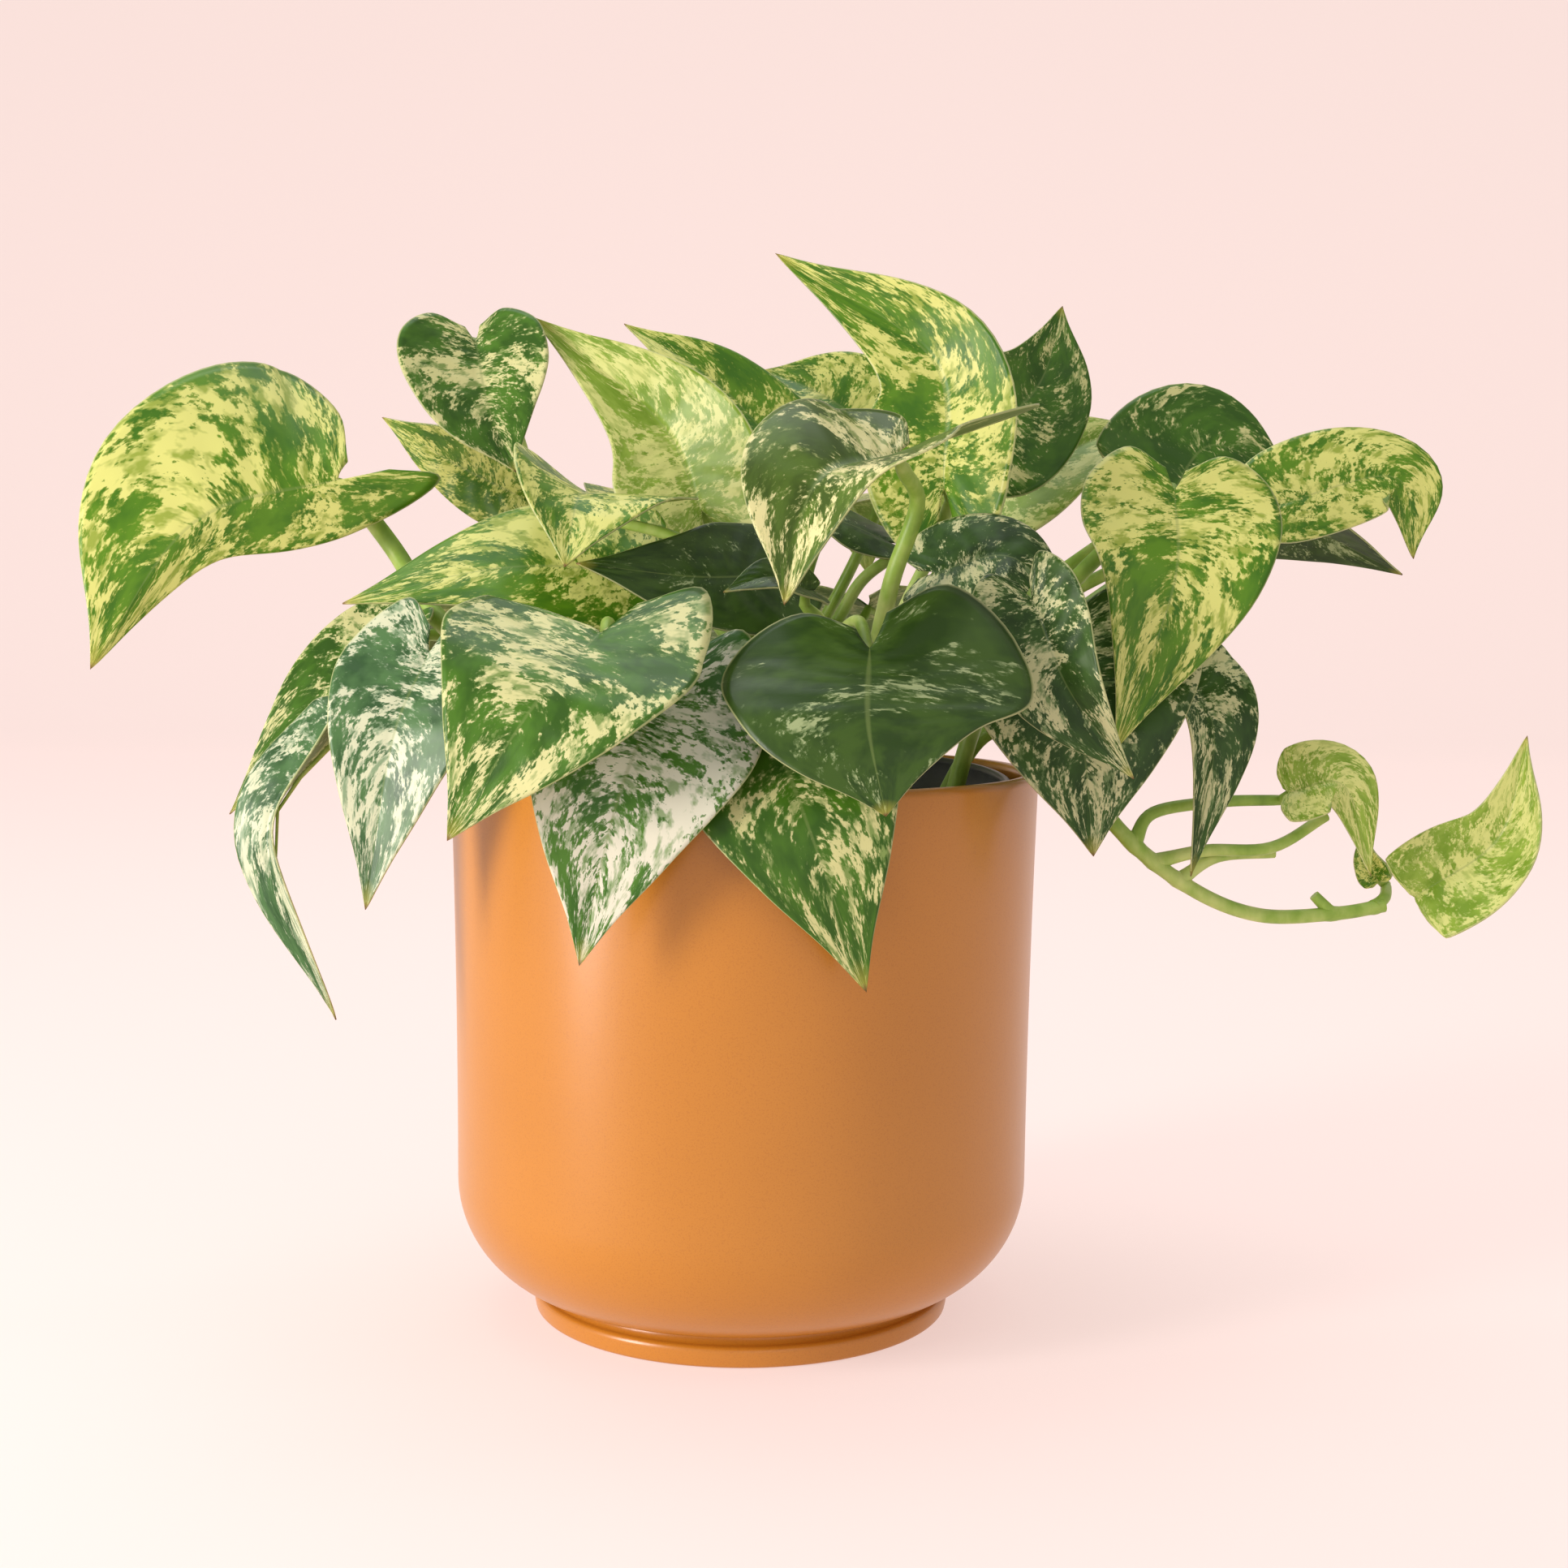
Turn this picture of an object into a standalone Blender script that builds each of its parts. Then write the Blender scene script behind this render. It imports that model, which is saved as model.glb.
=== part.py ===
"""Potted pothos: glazed cachepot, plastic grow pot, soil, vines with their petioles, and leaves.

Metres in the scene, millimetres in the tables below. +Z is up, the front faces -Y, and the
origin is the centre of the cachepot's foot on the table.
"""

import math

import bmesh
import bpy
from mathutils import Matrix, Vector

MM = 0.001
GAP = 0.3  # clearance between neighbouring pieces

# Cachepot (mm)
POT_HEIGHT = 154.0
POT_RIM_RADIUS = 82.5
POT_WALL_RADIUS = 80.8
POT_WALL = 4.5
POT_CORNER = 32.0
FOOT_RADIUS = 59.5
FOOT_HEIGHT = 6.5
POT_FLOOR = 13.0
POT_SEGMENTS = 64

# Grow pot (mm), leaning slightly to the front inside the cachepot
GROW_RIM_RADIUS = 75.0
GROW_BASE_RADIUS = 54.0
GROW_WALL = 1.4
GROW_LIP = 9.0
GROW_HEIGHT = 135.0
GROW_LEAN = 3.0
GROW_BASE = (0.0, 5.0, 17.0)
GROW_SEGMENTS = 48

# Soil (mm, in the grow pot's own axes)
SOIL_LEVEL = 121.0
SOIL_DEPTH = 112.0
SOIL_MOUND = 3.0

# Leaf blades
BLADE = 0.7
HEART = (
    (-0.10, 0.10),
    (-0.19, 0.50),
    (-0.03, 0.91),
    (0.21, 1.00),
    (0.45, 0.83),
    (0.67, 0.53),
    (0.86, 0.20),
    (1.00, 0.00),
)
ROWS = 7
SIDE_COLUMNS = 2
PETIOLE_DROP = 1.6  # how far under the blade a petiole ends


def remove_everything():
    for item in list(bpy.data.objects):
        bpy.data.objects.remove(item, do_unlink=True)


def srgb(hex_code):
    """Linear RGBA from an sRGB hex code."""
    parts = [int(hex_code[i:i + 2], 16) / 255.0 for i in (0, 2, 4)]
    linear = [p / 12.92 if p <= 0.04045 else ((p + 0.055) / 1.055) ** 2.4 for p in parts]
    return (*linear, 1.0)


def material(name, hex_code, roughness):
    finish = bpy.data.materials.new(name)
    finish.use_nodes = True
    shader = finish.node_tree.nodes["Principled BSDF"]
    shader.inputs["Base Color"].default_value = srgb(hex_code)
    shader.inputs["Roughness"].default_value = roughness
    shader.inputs["Metallic"].default_value = 0.0
    return finish


def add_object(name, data, finish):
    item = bpy.data.objects.new(name, data)
    data.materials.append(finish)
    PARTS.objects.link(item)
    return item


def smooth(item, degrees=40.0):
    item.data.shade_smooth()
    item.data.set_sharp_from_angle(angle=math.radians(degrees))


def turned(name, profile, segments, finish):
    """A profile of (radius, height) in mm, outer side first from the top, turned about Z."""
    mesh = bpy.data.meshes.new(name)
    form = bmesh.new()
    corners = [form.verts.new((r * MM, 0.0, z * MM)) for r, z in profile]
    for one, two in zip(corners, corners[1:]):
        form.edges.new((one, two))
    form.to_mesh(mesh)
    form.free()
    item = add_object(name, mesh, finish)
    screw = item.modifiers.new("Turn", "SCREW")
    screw.axis = "Z"
    screw.steps = segments
    screw.render_steps = segments
    screw.use_merge_vertices = True
    screw.merge_threshold = 0.00001
    screw.use_smooth_shade = True
    return item


def arc(centre, radius, start, end, count):
    """Points of (radius, height) on an arc in the profile plane, angles in degrees."""
    points = []
    for step in range(count):
        angle = math.radians(start + (end - start) * step / (count - 1))
        points.append((centre[0] + radius * math.cos(angle), centre[1] + radius * math.sin(angle)))
    return points


def cachepot(finish):
    rim = POT_WALL / 2.0
    top = POT_HEIGHT - rim
    foot_in = FOOT_RADIUS - 2.0
    lower = FOOT_HEIGHT + POT_CORNER
    outer = [(POT_RIM_RADIUS, top), (POT_WALL_RADIUS, lower + 4.0)]
    outer += arc((POT_WALL_RADIUS - POT_CORNER, lower), POT_CORNER, -8.0, -66.0, 6)
    outer += [(foot_in, FOOT_HEIGHT + 0.6), (FOOT_RADIUS, FOOT_HEIGHT - 1.5)]
    outer += [(FOOT_RADIUS - 0.8, 0.0), (0.0, 0.0)]
    inner_corner = POT_CORNER - POT_WALL
    inner = [(0.0, POT_FLOOR)]
    inner += arc(
        (POT_WALL_RADIUS - POT_CORNER, POT_FLOOR + inner_corner), inner_corner, -90.0, 0.0, 5
    )
    inner += [(POT_RIM_RADIUS - POT_WALL, top)]
    lip = arc((POT_RIM_RADIUS - rim, top), rim, 180.0, 0.0, 6)
    # The walk starts at the axis under the foot's top side, so it is reversed to run down outside.
    profile = inner + lip[1:] + outer[1:]
    return turned("ceramic_pot", [(r, z) for r, z in profile], POT_SEGMENTS, finish)


def lean(item):
    """Places a piece made in the grow pot's own axes."""
    item.matrix_world = grow_matrix()


def grow_matrix():
    place = Matrix.Translation([value * MM for value in GROW_BASE])
    return place @ Matrix.Rotation(math.radians(GROW_LEAN), 4, "X")


def grow_pot(finish):
    top = GROW_HEIGHT
    under_lip = top - GROW_LIP
    body = GROW_RIM_RADIUS - 3.2
    profile = [(0.0, 2.0)]
    profile += [(GROW_BASE_RADIUS - GROW_WALL, 2.0)]
    profile += [(body - GROW_WALL, under_lip), (GROW_RIM_RADIUS - 2.8, top - 1.6)]
    profile += arc((GROW_RIM_RADIUS - 1.4, top - 1.4), 1.4, 180.0, 0.0, 5)
    profile += [(GROW_RIM_RADIUS, under_lip - 1.0), (GROW_RIM_RADIUS - 1.2, under_lip - 1.0)]
    profile += [(body, under_lip - 1.4), (GROW_BASE_RADIUS + 1.0, 1.2)]
    profile += [(GROW_BASE_RADIUS, 0.0), (0.0, 0.0)]
    item = turned("nursery_pot", profile, GROW_SEGMENTS, finish)
    lean(item)
    return item


def grow_inner_radius(height):
    """Inner radius of the grow pot's wall at a height above its base."""
    share = (height - 2.0) / (GROW_HEIGHT - GROW_LIP - 2.0)
    low = GROW_BASE_RADIUS - GROW_WALL
    high = GROW_RIM_RADIUS - 3.2 - GROW_WALL
    return low + (high - low) * share


def soil(finish):
    bottom = SOIL_LEVEL - SOIL_DEPTH
    edge = grow_inner_radius(SOIL_LEVEL) - 0.5
    low = grow_inner_radius(bottom) - 0.5
    profile = [(0.0, SOIL_LEVEL)]
    profile += [(20.0, SOIL_LEVEL), (52.0, SOIL_LEVEL), (62.0, SOIL_LEVEL - 1.0)]
    profile += [(edge, SOIL_LEVEL - SOIL_MOUND), (low, bottom), (0.0, bottom)]
    item = turned("potting_soil", profile, GROW_SEGMENTS, finish)
    lean(item)
    return item


def soil_height(x, y):
    """World height in mm of the soil's level top at a point."""
    slope = math.tan(math.radians(GROW_LEAN))
    rise = SOIL_LEVEL / math.cos(math.radians(GROW_LEAN))
    return GROW_BASE[2] + rise + (y - GROW_BASE[1]) * slope


def along(points, share):
    """Point at a share (0 to 1) of a smooth curve through the points."""
    last = len(points) - 1
    index = max(0, min(int(share * last), last - 1))
    t = share * last - index
    one, two = points[index], points[index + 1]
    before = points[index - 1] if index > 0 else one * 2.0 - two
    after = points[index + 2] if index + 2 <= last else two * 2.0 - one
    bend = before * 2.0 - one * 5.0 + two * 4.0 - after
    jerk = one * 3.0 - before - two * 3.0 + after
    return (one * 2.0 + (two - before) * t + bend * (t * t) + jerk * (t * t * t)) * 0.5


class Leaf:
    """A heart-shaped blade bent along its midrib.

    rib: points from the petiole's end to the tip; face: the way its upper side looks, at one or
    more places along the rib; wide: half widths, left and right of the rib seen from above with
    the tip away; fold: degrees each half rises off the rib; curl: degrees more by its margin;
    lobe: how far each lobe reaches behind the base, against the usual.
    """

    def __init__(self, rib, face, wide, fold=(12, 12), curl=(0, 0), lobe=(1, 1)):
        self.rib = [Vector(point) for point in rib]
        faces = face if isinstance(face[0], tuple) else (face, face)
        self.faces = [Vector(item) for item in faces]
        self.wide = wide
        self.fold = fold
        self.curl = curl
        self.lobe = lobe

    def forward(self, u):
        u = min(max(u, 0.0), 1.0)
        return (along(self.rib, min(u + 0.02, 1.0)) - along(self.rib, max(u - 0.02, 0.0))).normalized()

    def normal(self, u):
        ahead = self.forward(u)
        face = along(self.faces, min(max(u, 0.0), 1.0))
        return (face - ahead * face.dot(ahead)).normalized()

    def length(self):
        return sum((two - one).length for one, two in zip(self.rib, self.rib[1:]))

    def point(self, s, t):
        """Place on the blade: s from the base (0) to the tip (1), t from left (-1) to right (1)."""
        edge = along(OUTLINE, s)
        root = s ** 1.35
        u = root + (edge.x - root) * abs(t) ** 1.5
        side = 1 if t > 0 else 0
        if u < 0.0:
            u *= self.lobe[side]
        ahead = self.forward(u)
        up = self.normal(u)
        across = ahead.cross(up) * (1.0 if side else -1.0)
        out = edge.y * abs(t)
        reach = self.wide[side] * out
        angle = math.radians(self.fold[side] + self.curl[side] * out * 0.5)
        spot = along(self.rib, max(u, 0.0)) + ahead * (min(u, 0.0) * self.length())
        return spot + (across * math.cos(angle) + up * math.sin(angle)) * reach

    def petiole_end(self):
        """Where its petiole ends under the base of the blade, and the point before it."""
        drop = PETIOLE_DROP + 1.6 * math.tan(math.radians(max(0, -min(self.fold))))
        end = self.rib[0] - self.normal(0.0) * drop
        return end, end - (self.normal(0.0) * 0.8 + self.forward(0.0) * 0.6) * 4.0


OUTLINE = [Vector(corner) for corner in HEART]

# Each leaf: midrib points, facing, half widths (left, right), fold, curl. Left is seen from above
# with the tip away, so on a leaf that hangs facing the front it is the +X side.
LEAVES = {
    "leaf_01": Leaf([(-112, -12, 233), (-148, -26, 220), (-173, -37, 181)],
                    [(-0.1, -0.85, 0.5), (0.25, -0.9, 0.1)], (16, 45), (-24, 4), (-10, -14), lobe=(1.6, 0.5)),
    "leaf_02": Leaf([(-78, 16, 274), (-73, 6, 254), (-65, 2, 236)],
                    (0.15, -0.9, 0.45), (20, 24), (18, 12), (0, 10)),
    "leaf_03": Leaf([(-66, 34, 230), (-88, 38, 241), (-109, 42, 254)],
                    (-0.3, -0.8, -0.3), (13, 16), (10, 10)),
    "leaf_04": Leaf([(-13, 6, 226), (-26, 12, 252), (-62, 18, 281)],
                    (-0.2, -0.85, 0.3), (22, 24), (22, 22)),
    "leaf_05": Leaf([(14, 34, 240), (-10, 46, 266), (-38, 56, 284)],
                    (0.0, -0.85, 0.5), (15, 15), (14, 14)),
    "leaf_06": Leaf([(42, 50, 250), (22, 60, 264), (4, 70, 272)],
                    (0.0, -0.8, 0.5), (20, 22), (10, 10)),
    "leaf_07": Leaf([(-24, -24, 208), (-64, -30, 209), (-106, -40, 199)],
                    (-0.1, -0.65, 0.75), (20, 26), (-8, 6), (-10, 0), lobe=(0.3, 0.3)),
    "leaf_08": Leaf([(-41, -24, 228), (-44, -44, 227), (-46, -62, 209)],
                    [(0.0, -0.35, 0.95), (0.0, -0.8, 0.5)], (29, 24), (2, 16), (0, 30)),
    "leaf_09": Leaf([(8, -30, 208), (-14, -42, 207), (-44, -50, 210)],
                    (0.0, -0.8, 0.55), (19, 18), (-4, 4)),
    "leaf_10": Leaf([(-36, -76, 193), (-50, -96, 176), (-70, -104, 144)],
                    [(0.1, -0.55, 0.8), (0.0, -1.0, 0.2)], (31, 36), (10, -6), lobe=(1.9, 0.1)),
    "leaf_11": Leaf([(-21, -70, 179), (-31, -89, 152), (-40, -90, 112)],
                    [(0.1, -0.9, 0.4), (0.0, -1.0, 0.0)], (29, 29), (8, 8), lobe=(1.6, 0.2)),
    "leaf_12": Leaf([(-82, -50, 187), (-90, -60, 164), (-97, -60, 121)],
                    [(-0.3, -0.8, 0.5), (-0.2, -1.0, 0.1)], (26, 22), (10, 10)),
    "leaf_13": Leaf([(-98, -14, 191), (-117, -22, 172), (-139, -28, 142)],
                    [(-0.3, -0.7, 0.6), (-0.3, -0.9, 0.2)], (14, 14), (16, 16)),
    "leaf_14": Leaf([(-106, -40, 168), (-124, -48, 138), (-107, -48, 90)],
                    [(-0.9, -0.5, 0.3), (-0.5, -1.0, 0.0)], (13, 13), (30, 30), lobe=(0.3, 0.3)),
    "leaf_15": Leaf([(30, -84, 190), (29, -100, 172), (33, -108, 151)],
                    [(0.0, -0.7, 0.6), (0.0, -1.0, 0.3)], (40, 36), (2, -4), (-10, -14),
                    lobe=(2.4, 1.3)),
    "leaf_16": Leaf([(0, -58, 184), (14, -87, 150), (30, -90, 106)],
                    [(-0.1, -0.9, 0.35), (0.0, -1.0, 0.0)], (33, 30), (0, 6), lobe=(-0.4, 0.4)),
    "leaf_17": Leaf([(38, -60, 238), (17, -74, 230), (9, -86, 200)],
                    [(-0.1, -0.7, 0.7), (0.1, -1.0, 0.2)], (30, 27), (46, 6), (0, -20),
                    lobe=(3.2, 1)),
    "leaf_18": Leaf([(54, -12, 232), (50, -8, 268), (7, 0, 297)],
                    [(-0.4, -0.8, 0.2), (-0.2, -0.9, -0.1)], (22, 24), (20, 20)),
    "leaf_19": Leaf([(66, 18, 246), (84, 22, 264), (91, 26, 287)],
                    (0.2, -0.9, 0.2), (20, 22), (14, 14)),
    "leaf_20": Leaf([(68, 28, 226), (96, 34, 246), (118, 40, 254)],
                    (0.0, -0.7, 0.7), (18, 18), (10, 10)),
    "leaf_21": Leaf([(50, -30, 209), (70, -36, 213), (86, -39, 197)],
                    (0.1, -0.8, 0.6), (16, 18), (0, 10)),
    "leaf_22": Leaf([(111, -46, 231), (109, -58, 206), (94, -64, 164)],
                    [(0.0, -0.85, 0.5), (0.05, -1.0, 0.1)], (27, 25), (8, 8), (-10, -10), lobe=(0.7, 0.8)),
    "leaf_23": Leaf([(118, 0, 230), (132, 6, 246), (158, 10, 234)],
                    (0.1, -0.85, 0.4), (26, 16), (0, 0), lobe=(0.3, 0.3)),
    "leaf_24": Leaf([(146, -16, 229), (177, -18, 236), (182, -20, 214)],
                    (0.1, -0.75, 0.6), (18, 13), (10, -10)),
    "leaf_25": Leaf([(144, 4, 226), (164, 6, 221), (187, 6, 210)],
                    (0.0, -0.5, -0.8), (14, 14), (10, 10)),
    "leaf_26": Leaf([(84, -42, 194), (87, -54, 168), (90, -58, 136)],
                    [(0.1, -0.8, 0.55), (0.1, -1.0, 0.1)], (34, 33), (8, 8), lobe=(1, 0.3)),
    "leaf_27": Leaf([(72, -64, 202), (80, -76, 180), (96, -80, 158)],
                    [(-0.2, -0.8, 0.4), (-0.4, -0.9, 0.0)], (14, 18), (30, 10)),
    "leaf_28": Leaf([(117, -36, 184), (123, -46, 166), (117, -50, 130)],
                    [(0.3, -0.8, 0.4), (0.3, -1.0, 0.0)], (14, 12), (20, 20)),
    "leaf_29": Leaf([(146, -34, 151), (160, -38, 153), (168, -38, 129)],
                    (-0.1, -0.9, 0.5), (12, 10), (10, 10), lobe=(0.3, 0.3)),
    "leaf_30": Leaf([(183, -28, 122), (204, -32, 139), (209, -37, 167)],
                    (-0.4, -0.85, 0.3), (14, 18), (24, 24), lobe=(0.1, 0.1)),
    "leaf_31": Leaf([(176, -18, 125), (173, -17, 131), (171, -16, 139)],
                    (-0.6, -0.7, 0.3), (5, 6), (30, 30), lobe=(0.3, 0.3)),
    "leaf_32": Leaf([(16, -46, 204), (6, -54, 207), (-6, -60, 203)],
                    (0.1, -0.6, 0.7), (8, 8), (10, 10)),
    "leaf_33": Leaf([(40, 2, 218), (22, 0, 224), (12, -2, 216)],
                    (0.0, -0.5, 0.8), (9, 11), (-10, -10)),
    "leaf_34": Leaf([(-68, 34, 202), (-92, 52, 196), (-106, 68, 166)],
                    [(-0.4, 0.4, 0.8), (-0.6, 0.8, 0.3)], (24, 24), (8, 8)),
    "leaf_35": Leaf([(-34, 66, 202), (-46, 96, 190), (-50, 110, 150)],
                    [(-0.1, 0.3, 0.9), (-0.2, 1.0, 0.2)], (27, 27), (8, 8)),
    "leaf_36": Leaf([(6, 74, 190), (8, 106, 176), (6, 116, 134)],
                    [(0.0, 0.3, 0.9), (0.0, 1.0, 0.2)], (28, 28), (6, 6)),
    "leaf_37": Leaf([(38, 68, 200), (50, 98, 190), (56, 112, 152)],
                    [(0.1, 0.3, 0.9), (0.2, 1.0, 0.2)], (26, 26), (8, 8)),
    "leaf_38": Leaf([(74, 48, 196), (98, 64, 186), (110, 76, 152)],
                    [(0.4, 0.4, 0.8), (0.6, 0.8, 0.3)], (24, 24), (10, 10)),
    "leaf_39": Leaf([(-22, 52, 226), (-34, 78, 232), (-42, 104, 214)],
                    [(0.0, -0.2, 1.0), (0.0, 0.5, 0.8)], (24, 24), (10, 10)),
    "leaf_40": Leaf([(24, 58, 230), (34, 84, 232), (40, 108, 210)],
                    [(0.0, -0.2, 1.0), (0.1, 0.5, 0.8)], (24, 24), (10, 10)),
    "leaf_41": Leaf([(-78, 8, 190), (-102, 20, 187), (-116, 32, 160)],
                    [(-0.3, 0.2, 0.9), (-0.7, 0.5, 0.5)], (18, 20), (10, 10)),
    "leaf_42": Leaf([(94, 20, 194), (122, 32, 190), (140, 42, 162)],
                    [(0.3, 0.2, 0.9), (0.7, 0.5, 0.5)], (23, 23), (10, 10)),
}

# Vines: trunk points, trunk radius, then each petiole as (leaf, share of the trunk, bends).
VINES = {
    "vine_01": ([(-34, 0, 0), (-42, -2, 162), (-52, -4, 184)], 2.6, [
        ("leaf_01", 0.7, [(-64, -16, 180), (-84, -12, 194), (-99, 1, 214)]),
        ("leaf_02", 0.9, [(-58, 8, 220), (-68, 20, 252), (-76, 26, 268)]),
        ("leaf_03", 0.95, [(-52, 24, 206), (-58, 44, 222)]),
        ("leaf_13", 0.6, [(-62, -8, 182), (-84, -6, 190)]),
        ("leaf_41", 0.8, [(-64, 4, 186)]),
    ]),
    "vine_02": ([(-30, -24, 0), (-40, -30, 165), (-48, -34, 180)], 2.4, [
        ("leaf_07", 0.8, [(-40, -22, 190), (-30, -18, 202)]),
        ("leaf_12", 0.9, [(-58, -38, 182), (-72, -42, 185)]),
        ("leaf_14", 0.7, [(-66, -32, 174), (-88, -30, 172)]),
    ]),
    "vine_03": ([(-14, -36, 0), (-26, -42, 162), (-32, -46, 174)], 2.4, [
        ("leaf_08", 0.8, [(-16, -36, 190), (-14, -26, 214)]),
        ("leaf_10", 0.95, [(-34, -52, 190), (-35, -64, 195)]),
        ("leaf_11", 0.7, [(-35, -60, 177)]),
    ]),
    "vine_04": ([(18, -30, 0), (14, -38, 160), (10, -42, 172)], 2.4, [
        ("leaf_15", 0.6, [(22, -48, 188), (28, -62, 196)]),
        ("leaf_16", 0.9, [(4, -48, 177)]),
        ("leaf_32", 0.7, [(20, -40, 192)]),
        ("leaf_09", 0.5, [(17, -28, 186), (14, -22, 198)]),
    ]),
    "vine_05": ([(30, -16, 0), (32, -24, 165), (34, -32, 184)], 2.6, [
        ("leaf_17", 0.9, [(38, -40, 206), (44, -46, 226)]),
        ("leaf_18", 0.6, [(42, -16, 196), (52, -4, 216)]),
        ("leaf_21", 0.7, [(44, -30, 196)]),
    ]),
    "vine_06": ([(8, 18, 0), (4, 14, 170), (2, 12, 190)], 2.6, [
        ("leaf_04", 0.95, [(-4, 10, 208)]),
        ("leaf_05", 0.8, [(12, 24, 205), (16, 34, 226)]),
        ("leaf_33", 0.6, [(22, 8, 190), (32, 6, 206)]),
        ("leaf_39", 0.7, [(-10, 30, 196), (-18, 44, 216)]),
        ("leaf_35", 0.5, [(-14, 36, 184), (-28, 56, 196)]),
    ]),
    "vine_07": ([(54, -18, 0), (62, -26, 168), (72, -30, 188)], 2.6, [
        ("leaf_22", 0.95, [(88, -34, 208), (104, -38, 224)]),
        ("leaf_26", 0.7, [(72, -32, 186)]),
        ("leaf_27", 0.95, [(75, -48, 203)]),
        ("leaf_28", 0.9, [(88, -26, 192), (106, -26, 190)]),
        ("leaf_24", 0.85, [(98, -18, 204), (126, -12, 220)]),
    ]),
    "vine_08": ([(44, 22, 0), (52, 20, 170), (60, 18, 190)], 2.6, [
        ("leaf_19", 0.9, [(60, 22, 218), (64, 26, 236)]),
        ("leaf_20", 0.8, [(60, 26, 208)]),
        ("leaf_23", 0.95, [(84, 8, 206), (106, 2, 222)]),
        ("leaf_25", 0.7, [(92, 6, 204), (124, 4, 220)]),
        ("leaf_42", 0.6, [(72, 20, 182)]),
    ]),
    "vine_09": ([(20, 44, 0), (18, 52, 168), (16, 56, 184)], 2.4, [
        ("leaf_06", 0.9, [(32, 46, 212), (42, 42, 236)]),
        ("leaf_40", 0.8, [(18, 50, 206), (22, 52, 220)]),
        ("leaf_36", 0.5, [(10, 64, 180)]),
        ("leaf_37", 0.6, [(30, 58, 188)]),
        ("leaf_38", 0.7, [(42, 48, 184), (56, 46, 190)]),
        ("leaf_34", 0.4, [(-16, 40, 176), (-46, 30, 190)]),
    ]),
    "vine_10": ([(50, -6, 0), (66, -12, 164), (84, -24, 164), (100, -36, 141), (120, -34, 125),
                 (140, -30, 117), (162, -26, 117), (176, -24, 119)], 2.3, [
        ("leaf_29", 0.46, [(110, -33, 145), (128, -32, 148)]),
        ("leaf_31", 0.97, [(177, -21, 121)]),
        (None, 0.5, [(124, -34, 135), (142, -34, 136), (158, -28, 144)]),
        (None, 0.55, [(128, -31, 133), (144, -29, 134)]),
        (None, 0.85, [(156, -26, 122)]),
    ]),
}


def blade(name, leaf, finish):
    """A thin closed shell from a grid whose rows run along the midrib."""
    mesh = bpy.data.meshes.new(name)
    form = bmesh.new()
    across = 2 * SIDE_COLUMNS
    bmesh.ops.create_grid(form, x_segments=ROWS, y_segments=across, size=1.0)
    for corner in form.verts:
        s = (corner.co.x + 1.0) / 2.0
        t = corner.co.y
        corner.co = leaf.point(s, -t) * MM
    bmesh.ops.remove_doubles(form, verts=form.verts, dist=0.00002)
    form.to_mesh(mesh)
    form.free()
    item = add_object(name, mesh, finish)
    shell = item.modifiers.new("Blade", "SOLIDIFY")
    shell.thickness = BLADE * MM
    shell.offset = 0.0
    return item


def tube(points, radius, tip_radius):
    """A tapering rod through points in mm, as a closed mesh."""
    curve = bpy.data.curves.new("Rod", "CURVE")
    curve.dimensions = "3D"
    curve.bevel_depth = MM
    curve.bevel_resolution = 1
    curve.use_fill_caps = True
    curve.render_resolution_u = 0
    spline = curve.splines.new("POLY")
    spline.points.add(len(points) - 1)
    for index, (node, point) in enumerate(zip(spline.points, points)):
        share = index / (len(points) - 1)
        node.co = (*(point * MM), 1.0)
        node.radius = radius + (tip_radius - radius) * share
    rod = bpy.data.objects.new("Rod", curve)
    bpy.context.scene.collection.objects.link(rod)
    bpy.context.view_layer.update()
    mesh = bpy.data.meshes.new_from_object(rod.evaluated_get(bpy.context.evaluated_depsgraph_get()))
    bpy.data.objects.remove(rod)
    bpy.data.curves.remove(curve)
    form = bmesh.new()
    form.from_mesh(mesh)
    bmesh.ops.remove_doubles(form, verts=form.verts, dist=0.00001)
    bmesh.ops.recalc_face_normals(form, faces=form.faces)
    form.to_mesh(mesh)
    form.free()
    return mesh


def join(item, other):
    """A Boolean union of another mesh object into this one."""
    other.hide_render = True
    other.display_type = "WIRE"
    union = item.modifiers.new("Join", "BOOLEAN")
    union.operation = "UNION"
    union.solver = "EXACT"
    union.object = other


def vine(name, trunk, radius, petioles, finish):
    """A vine's trunk with its petioles grown onto it."""
    path = [Vector(point) for point in trunk]
    path[0].z = soil_height(path[0].x, path[0].y) + 4.0 * GAP
    count = 3 * (len(path) - 1)
    spine = [along(path, step / count) for step in range(count + 1)]
    item = add_object(name, tube(spine, radius, radius * 0.8), finish)
    smooth(item)
    for leaf_name, share, bends in petioles:
        line = [along(path, share)] + [Vector(bend) for bend in bends]
        if leaf_name:
            end, before = LEAVES[leaf_name].petiole_end()
            line += [before]
        steps = len(line) + 1
        route = [along(line, step / steps) for step in range(steps + 1)]
        if leaf_name:
            route += [end]
        rod = bpy.data.objects.new("Petiole", tube(route, radius * 0.78, radius * 0.62))
        GUIDES.objects.link(rod)
        join(item, rod)
    return item


remove_everything()
PARTS = bpy.data.collections.new("potted_pothos")
GUIDES = bpy.data.collections.new("guides")
for group in (PARTS, GUIDES):
    bpy.context.scene.collection.children.link(group)

cachepot(material("glazed ceramic", "D58B4A", 0.4))
grow_pot(material("grow pot plastic", "2B2D2C", 0.5))
soil(material("soil", "2E241C", 0.95))
GREEN = material("leaf", "5E8C3A", 0.4)
STEM = material("stem", "8DA650", 0.5)
for leaf_name, leaf in LEAVES.items():
    blade(leaf_name, leaf, GREEN)
for vine_name, (trunk, radius, petioles) in VINES.items():
    vine(vine_name, trunk, radius, petioles, STEM)
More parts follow.
